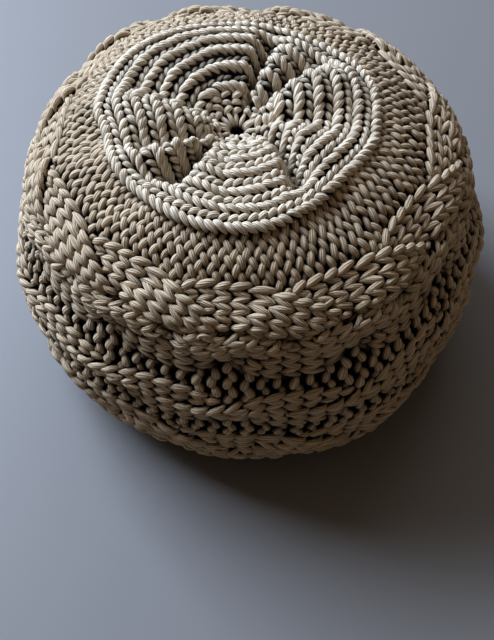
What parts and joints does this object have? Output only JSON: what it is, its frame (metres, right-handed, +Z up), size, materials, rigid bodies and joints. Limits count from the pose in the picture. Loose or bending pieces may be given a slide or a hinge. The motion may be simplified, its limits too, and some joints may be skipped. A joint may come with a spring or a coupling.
{
  "type": "knitted pouf",
  "caption": "Round filled floor pouf: a side band knitted sideways with cables, and a drawn-up crocheted top with an open eyelet.",
  "frame": {"origin": "centre of the footprint, on the surface that the pouf stands on", "axes": "+Z up through the top disc; -Y towards the front"},
  "size_m": [0.5509, 0.5488, 0.3573],
  "materials": {
    "band_cord": "matt twisted cotton cord",
    "disc_cord": "matt twisted cotton cord",
    "base_cord": "matt twisted cotton cord"
  },
  "bodies": {
    "root": {"side_band": "band_cord", "top_disc": "disc_cord", "base_disc": "base_cord"}
  },
  "joints": []
}
